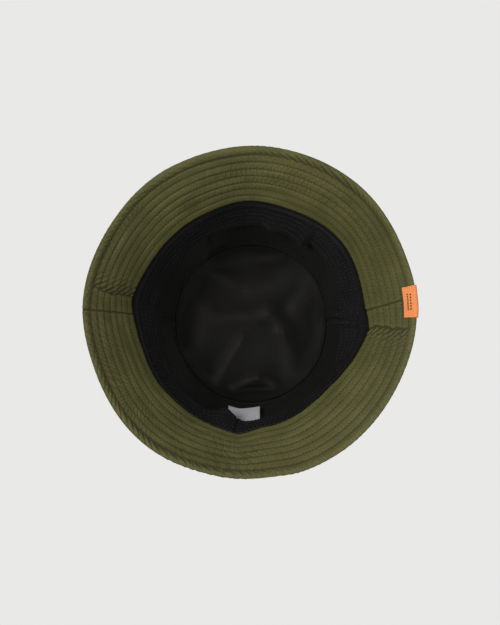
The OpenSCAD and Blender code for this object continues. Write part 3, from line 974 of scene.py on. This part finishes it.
def drape(obj, pinned, frames, grow, scale, ceiling):
    """Runs a cloth simulation on the piece scaled up, under a flat ceiling, applies the result and scales it back.
    """
    obj.data.transform(Matrix.Scale(scale, 4))
    wide = 0.1 * scale
    plate = new_object("ceiling", [(-wide, -wide, 0), (-wide, wide, 0), (wide, wide, 0), (wide, -wide, 0)],
                       [(0, 1, 2, 3)], smooth=False)
    plate.location.z = ceiling * scale
    plate.modifiers.new("stop", "COLLISION")
    plate.collision.thickness_outer = 0.004
    plate.collision.cloth_friction = 3
    group = obj.vertex_groups.new(name="sewn")
    group.add([int(i) for i in pinned], 1.0, "REPLACE")
    cloth_mod = obj.modifiers.new("drape", "CLOTH")
    c = cloth_mod.settings
    c.quality = 5
    c.mass = 0.15
    c.tension_stiffness = c.compression_stiffness = 12
    c.shear_stiffness = 4
    c.bending_stiffness = 0.8
    c.tension_damping = c.compression_damping = 10
    c.vertex_group_mass = "sewn"
    c.shrink_min = c.shrink_max = -grow
    c.effector_weights.gravity = -1
    cloth_mod.collision_settings.use_collision = True
    cloth_mod.collision_settings.distance_min = 0.004
    cloth_mod.point_cache.frame_end = frames
    for f in range(1, frames + 1):
        bpy.context.scene.frame_set(f)
    bpy.context.view_layer.objects.active = obj
    bpy.ops.object.modifier_apply(modifier="drape")
    bpy.context.scene.frame_set(1)
    bpy.data.objects.remove(plate)
    obj.data.transform(Matrix.Scale(1 / scale, 4))
    obj.vertex_groups.clear()


def eased(grid, times):
    """A grid of rings with its small crumples evened out; the edge stays where it is sewn."""
    grid = grid.copy()
    for _ in range(times):
        beside = grid[:-2] + grid[2:] + np.roll(grid, 1, 1)[1:-1] + np.roll(grid, -1, 1)[1:-1]
        grid[1:-1] = (grid[1:-1] * 2 + beside) / 6
    return grid


def settle_folds(obj, rings, around):
    """Softens the draped panel, sets its folds and paints shade into it, deepest in the valleys between them."""
    co = np.zeros(len(obj.data.vertices) * 3, np.float32)
    obj.data.vertices.foreach_get("co", co)
    co = co.reshape(-1, 3)
    grid = eased(co[:-1].reshape(rings, around, 3), 5)
    fade = 1 - (np.hypot(grid[..., 0], grid[..., 1]) / LINING_TIP_R).clip(0, 1) ** 10
    grid[..., 2] -= 0.6 * MM * tip_folds(grid[..., 0] / MM, grid[..., 1] / MM) * fade
    co[:-1] = grid.reshape(-1, 3)
    co[-1] = grid[0].mean(0)
    obj.data.vertices.foreach_set("co", co.ravel())
    obj.data.update()
    high = (grid[..., 2] - eased(grid, 90)[..., 2]) / MM
    shade = obj.data.attributes["painted_shade"].data
    painted_shade = np.zeros(len(co), np.float32)
    shade.foreach_get("value", painted_shade)
    painted_shade[:-1] = np.maximum(painted_shade[:-1], np.clip(0.30 + 0.45 * high, 0, 0.85).ravel())
    painted_shade[-1] = painted_shade[:around].mean()
    shade.foreach_set("value", painted_shade)


for half in ("front", "back"):
    side = lining_side(half)
    place_piece(side, BLACK_MESH, "mesh_lining", "hat", f"lining_side_{half}")

rings, around = 46, 160
# Painted shade along the round panel's sewn edge.
lining_tip = disc_object("lining_tip_mesh", lining_tip_flat, LINING_DISC_R, rings, around,
                         lambda a, r: ridge(LINING_DISC_R - r, 1.5 * MM))
drape(lining_tip, range((rings - 1) * around, rings * around), frames=14, grow=0.012, scale=10,
      ceiling=TOP_Z - 0.3 * MM)
settle_folds(lining_tip, rings, around)
smooth = lining_tip.modifiers.new("smooth", "SUBSURF")
smooth.levels = smooth.render_levels = 1
bpy.context.view_layer.objects.active = lining_tip
bpy.ops.object.modifier_apply(modifier="smooth")
co = np.zeros(len(lining_tip.data.vertices) * 3, np.float32)
lining_tip.data.vertices.foreach_get("co", co)
co = co.reshape(-1, 3)
co[:, 2] = np.minimum(co[:, 2], TOP_Z - 0.4 * MM)
lining_tip.data.vertices.foreach_set("co", co.ravel())
lining_tip.data.update()
place_piece(lining_tip, BLACK_MESH, "mesh_lining", "hat", "lining_tip")


# ---------------------------------------------------------------- the sweatband

BAND_H = BAND_Z1 - BAND_Z0
BAND_ROW_Z = [heights(f"sweatband_stitch_row_{row}")[0] + 0.2 * MM for row in range(1, BAND_ROWS + 1)]
BAND_PITCH = BAND_ROW_Z[1] - BAND_ROW_Z[0]
BAND_JOIN = 97.5                         # azimuth of the seam that closes the band, in degrees
BAND_THREAD = 0.4 * MM
# How far the band's free upper edge stands away from the lining, in mm
BAND_AWAY = [(0, 10.5), (14, 4.0), (40, 0.8), (90, 0.8), (130, 0.8), (180, 1.6), (225, 0.8), (262, 1.2),
             (276, 1.5), (283, 5.5), (290, 4.0), (299, 6.0), (304, 9.5), (309, 1.0), (335, 3.0), (350, 7.0)]


def band_push(az, h):
    """How far the band moves inwards: its free edge stands away, and it is creased at the right and the back."""
    d = turn_from(az, 2.0 - 3 * h) * HEAD_R
    crease = -3.0 * ridge(d, 1.8 * MM) + 3.6 * ridge(np.abs(d) - 4.8 * MM, 2.6 * MM)
    crease = crease + 8.4 * bump(az, 104.5, 7.0)
    waves = 1.5 * ripple(az + 0.2 * h, h, 20, 3, 109).clip(-0.5, None)
    return (stations(az, BAND_AWAY) + crease + waves) * h.clip(0, 1) ** 1.6 * MM


def band_relief(az, h):
    """Puffed channels, rows and gathers on the inner face, inwards being positive, and painted shade in their
    hollows.
    """
    z = BAND_Z0 + h * BAND_H
    pos = (z - BAND_ROW_Z[0]) / BAND_PITCH + 0.25 * MM / BAND_PITCH * ripple(az, h, 22, 3, 101)
    nearest = np.clip(np.round(pos), -1, BAND_ROWS)
    off_row = pos - nearest
    sewn = (nearest >= 0) & (nearest < BAND_ROWS)
    x = np.where(sewn, np.clip(2 * np.abs(off_row), 0, 1), 1)
    puffed = 1 - (1 - x) ** 2.5
    height = 0.75 * puffed * (1 + 0.3 * ripple(az, h, 50, 10, 103))
    arc = az * HEAD_R
    wave = (arc + 0.5 * z) / (3.5 * MM) + 1.2 * ripple(az, h, 36, 4, 105)
    patch = np.clip(0.6 + 0.7 * ripple(az, h, 14, 3, 107), 0.1, 1.2)
    height = height + 0.32 * np.sin(TAU * wave) * patch
    d = turn_from(az, BAND_JOIN) * HEAD_R
    height = height - 0.8 * ridge(d, 0.8 * MM) + 0.5 * ridge(np.abs(d) - 2.4 * MM, 1.4 * MM)
    height = height * (1 - np.exp(-(h * BAND_H / (3 * MM)).clip(0, None)))
    height = np.maximum(height, -0.25)
    # Painted shade in the low places between the puffed channels and in the join's seam.
    painted_shade = np.clip(0.75 - height, 0, 1)
    return height * MM, painted_shade


def band_point(az, h, off, relief=1.0):
    """A point of the band at fraction h of its height, a distance in from its outer face."""
    z = BAND_Z0 + h * BAND_H
    height, _ = band_relief(az, h)
    foot = 1.5 * MM * np.exp(-np.clip(h, 0, None) * BAND_H / (2.4 * MM))
    r = HEAD_R + BAND_T - lean(z) - off - height * relief + foot * (off > 0.6 * BAND_T)
    return settle(az, r - band_push(az, h), z)


def band_cover():
    around, up, round_steps = 900, 64, 10
    az = np.arange(around)[:, None] * TAU / around
    inside_h = np.linspace(-0.01, 1 - BAND_T / 2 / BAND_H, up)
    phi = np.linspace(0, math.pi, round_steps + 2)[1:-1]
    outside_h = np.linspace(1 - BAND_T / 2 / BAND_H, 0.0, 14)
    h = np.concatenate([inside_h, inside_h[-1] + np.sin(phi) * BAND_T / 2 / BAND_H, outside_h])
    off = np.concatenate([np.full(up, BAND_T), BAND_T / 2 * (1 + np.cos(phi)), np.zeros(14)])
    relief = np.concatenate([np.ones(up), (1 + np.cos(phi)) / 2, np.zeros(14)])
    aa = az + 0 * h
    hh = h[None] + 0 * az
    points = band_point(aa, hh, off[None] + 0 * aa, relief[None])
    _, painted_shade = band_relief(aa, hh)
    run = np.concatenate([[0], np.cumsum(np.hypot(np.diff(h) * BAND_H, np.diff(off)))])
    uv = np.stack([aa * HEAD_R, run[None] + 0 * aa], -1)
    return sheet_object("sweatband_cloth", points, uv, closed=True, flip=True,
                        values={"painted_shade": painted_shade * relief[None]})


cover = band_cover()
place_piece(cover, BLACK_BAND, "sweatband", "hat", "sweatband_cover")


def band_padding():
    around, up = 900, 20
    az = np.arange(around)[:, None] * TAU / around
    h = np.linspace(0.09, 0.94, up)
    h = np.concatenate([h, h[::-1], h[:1]])
    off = np.concatenate([np.full(up, BAND_T * 0.62), np.full(up, BAND_T * 0.3), [BAND_T * 0.62]])
    aa = az + 0 * h
    points = band_point(aa, h[None] + 0 * az, off[None] + 0 * aa, 0.35)
    uv = np.stack([aa * HEAD_R, np.linspace(0, 2 * BAND_H, len(h))[None] + 0 * aa], -1)
    return sheet_object("sweatband_foam", points, uv, closed=True)


foam = band_padding()
place_piece(foam, FELT, "stiffener", "hat", "sweatband_padding")

for row, z in enumerate(BAND_ROW_Z, start=1):
    turns = evenly(TAU * (HEAD_R - lean(z)), STITCH) * TAU

    def on_band(az, aside, z=z):
        level = np.full(np.shape(az), (z - BAND_Z0) / BAND_H)
        h = (z + aside - BAND_Z0) / BAND_H - 0.25 * MM / BAND_H * ripple(az, level, 22, 3, 101)
        return band_point(az, h, BAND_T + 0.05 * MM)

    obj = stitches(f"sweatband_stitches_{row}", on_band, turns, LONG_STITCH, BAND_THREAD, out_sign=-1)
    place_piece(obj, BLACK_THREAD, "band_thread", "hat", f"sweatband_stitch_row_{row}")



def beside_join(h, aside):
    return band_point(math.radians(BAND_JOIN - 1.6) + aside / HEAD_R, h, BAND_T + 0.05 * MM)


join_h = 0.28 + evenly(BAND_H * 0.68, STITCH) * 0.68
closing = stitches("sweatband_join", beside_join, join_h, LONG_STITCH, BAND_THREAD)
place_piece(closing, BLACK_THREAD, "band_thread", "hat", "sweatband_join_stitches")


# ---------------------------------------------------------------- the edge tab

TAB_TURN = math.radians(-4)              # azimuth of the tab's middle, as in the part's source
TAB_LEN = 26 * MM                        # along the brim's edge
TAB_REACH = 11 * MM                      # from the edge inwards, on each face


def tab_point(q, k, out=0.0):
    """q runs along the brim's edge in metres; k from -1 (inner end under) over 0 (the edge) to 1 (on top)."""
    turn = math.pi / 2 * BRIM_T / 2 * 1.4
    run = np.abs(k) * (TAB_REACH + turn)
    side = np.where(k < 0, -1.0, 1.0)
    az = TAB_TURN + q / RIM_R
    flat_run = np.clip(run - turn, 0, None)
    t = 1 - flat_run / BRIM_LEN
    phi = math.pi / 2 - side * np.clip(run / turn, 0, 1) * math.pi / 2
    middle, along, up = brim_frame(t)
    rad = BRIM_T / 2 + 1.15 * MM + out + 0.12 * MM * np.sin(q * 260) * np.cos(k * 3)
    p = middle + along * (rad * np.sin(phi))[..., None] + up * (rad * np.cos(phi))[..., None]
    return settle(az, p[..., 0], p[..., 1])


def edge_tab():
    n, m = 54, 90
    q = np.linspace(-TAB_LEN / 2, TAB_LEN / 2, n)[:, None]
    k = np.linspace(-1, 1, m)[None]
    qq, kk = q + 0 * k, k + 0 * q
    uv = np.stack([qq, kk * (TAB_REACH + 2 * MM)], -1)
    return slab_object("edge_tab_ribbon", tab_point(qq, kk, 0.0), tab_point(qq, kk, 0.35 * MM), uv)


def tab_marks():
    """Two plain rows of dashes woven into the ribbon, running along the brim's edge."""
    rows = []
    for k, dashes in ((-0.38, 7), (-0.62, 9)):
        q = (evenly(TAB_LEN * 0.56, TAB_LEN * 0.56 / dashes) - 0.5) * TAB_LEN * 0.56

        def place(at, aside, k=k):
            return tab_point(at, np.full(np.shape(at), k) + aside / TAB_REACH, 0.36 * MM)

        rows.append(stitches("mark", place, q, TAB_LEN * 0.44 / dashes, 1.2 * MM, out_sign=1))
    return join("edge_tab_marks", rows)


tab = edge_tab()
place_piece(tab, ORANGE, "tab_ribbon", "hat", "edge_tab")
place_piece(tab_marks(), INK, "tab_ribbon", "hat")


# ---------------------------------------------------------------- the care label

LABEL_LOW, LABEL_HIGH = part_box("care_label")
LABEL_X = (LABEL_LOW.x + LABEL_HIGH.x) / 2
LABEL_W = LABEL_HIGH.x - LABEL_LOW.x
LABEL_FREE, LABEL_SEWN = 26.5 * MM, 7.5 * MM     # above the band's edge, and behind the band
LABEL_LEAN = math.radians(31)


def care_label():
    """The label comes out of the gap between the band and the lining, and leans inwards above the band."""
    n, m = 40, 64
    x = np.linspace(-0.5, 0.5, n)[:, None]
    s = np.linspace(-LABEL_SEWN, LABEL_FREE, m)[None]
    xx, ss = x + 0 * s, s + 0 * x
    px = LABEL_X + xx * LABEL_W
    free = ss.clip(0, None)
    z = BAND_Z0 + BAND_H + np.where(ss < 0, ss * math.cos(math.atan(TAPER)), ss * math.cos(LABEL_LEAN))
    foot_z = np.minimum(z, BAND_Z0 + BAND_H)
    layers = []
    for off in (0.02 * MM, 0.27 * MM):
        r = HEAD_R + BAND_T + off - lean(foot_z)
        az = np.arccos(px / (r + 4 * MM))
        foot = settle(az, r, foot_z)
        y = foot[..., 1]
        wave = 0.3 * MM * np.sin(free / LABEL_FREE * 5 + xx * 3) * (free / LABEL_FREE)
        y = y - free * math.sin(LABEL_LEAN) - px**2 / (2 * HEAD_R) * 0.3 * free / LABEL_FREE + wave
        layers.append(np.stack([px, y, z + foot[..., 2] - foot_z], -1))
    uv = np.stack([xx * LABEL_W, ss], -1)
    return slab_object("care_label_satin", layers[0], layers[1], uv)


label = care_label()
label.data.materials.append(SATIN)
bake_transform(label)
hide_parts("care_label")


# ---------------------------------------------------------------- floor, light and camera

def stage_floor():
    """Pale floor seen from above; from below it lets the light and the camera through."""
    size = 6.0
    verts = [(-size, -size, 0), (size, -size, 0), (size, size, 0), (-size, size, 0)]
    floor = new_object("floor", verts, [(0, 1, 2, 3)], smooth=False)
    floor.location.z = -0.4 * MM
    m, nt, shader = material_base("pale_floor")
    shader.inputs["Base Color"].default_value = (0.80, 0.80, 0.79, 1)
    shader.inputs["Roughness"].default_value = 0.8
    clear = nt.nodes.new("ShaderNodeBsdfTransparent")
    facing = nt.nodes.new("ShaderNodeNewGeometry")
    choose = nt.nodes.new("ShaderNodeMixShader")
    nt.links.new(facing.outputs["Backfacing"], choose.inputs[0])
    nt.links.new(shader.outputs[0], choose.inputs[1])
    nt.links.new(clear.outputs[0], choose.inputs[2])
    nt.links.new(choose.outputs[0], nt.nodes["Material Output"].inputs[0])
    floor.data.materials.append(m)
    floor.visible_shadow = floor.visible_diffuse = floor.visible_glossy = False


def area_light(name, position, size, power, target=(0, 0, 0.03), colour=(1, 1, 1)):
    data = bpy.data.lights.new(name, "AREA")
    data.shape = "DISK"
    data.size = size
    data.energy = power
    data.color = colour
    light = bpy.data.objects.new(name, data)
    bpy.context.scene.collection.objects.link(light)
    light.location = position
    light.rotation_euler = (Vector(target) - Vector(position)).to_track_quat("-Z", "Y").to_euler()


def plain_world(seen, lighting):
    """A plain pale world for the camera that lights the scene more softly."""
    world = bpy.data.worlds.new("studio")
    bpy.context.scene.world = world
    world.use_nodes = True
    nt = world.node_tree
    back = nt.nodes["Background"]
    back.inputs["Color"].default_value = (*seen, 1)
    path = nt.nodes.new("ShaderNodeLightPath")
    level = nt.nodes.new("ShaderNodeMapRange")
    nt.links.new(path.outputs["Is Camera Ray"], level.inputs["Value"])
    level.inputs["To Min"].default_value = lighting
    level.inputs["To Max"].default_value = 1
    nt.links.new(level.outputs[0], back.inputs["Strength"])


def aim_camera(tilt_deg, distance, width):
    """A camera under the hat, looking up into it from a little behind the middle."""
    data = bpy.data.cameras.new("camera")
    data.sensor_fit = "HORIZONTAL"
    data.sensor_width = 36
    data.lens = data.sensor_width * distance / width
    obj = bpy.data.objects.new("camera", data)
    bpy.context.scene.collection.objects.link(obj)
    tilt = math.radians(tilt_deg)
    forward = Vector((0, -math.sin(tilt), math.cos(tilt)))
    upward = Vector((0, -math.cos(tilt), -math.sin(tilt)))
    axes = Matrix((forward.cross(upward), upward, -forward)).transposed()
    obj.matrix_world = Matrix.Translation(-forward * distance) @ axes.to_4x4()
    bpy.context.scene.camera = obj


stage_floor()
plain_world(seen=(0.815, 0.815, 0.799), lighting=0.42)
area_light("key", (-0.95, -0.25, -1.15), 0.7, 14)
area_light("fill", (0.45, 0.5, -1.5), 0.9, 6.5)
area_light("side", (1.1, -0.3, -1.1), 0.8, 2.2)
area_light("top_key", (-0.8, -0.7, 1.4), 0.8, 16)
area_light("top_fill", (0.9, 0.5, 1.0), 1.2, 6)
aim_camera(tilt_deg=4.2, distance=1.2, width=0.4006)
bpy.context.scene.view_settings.view_transform = "Standard"
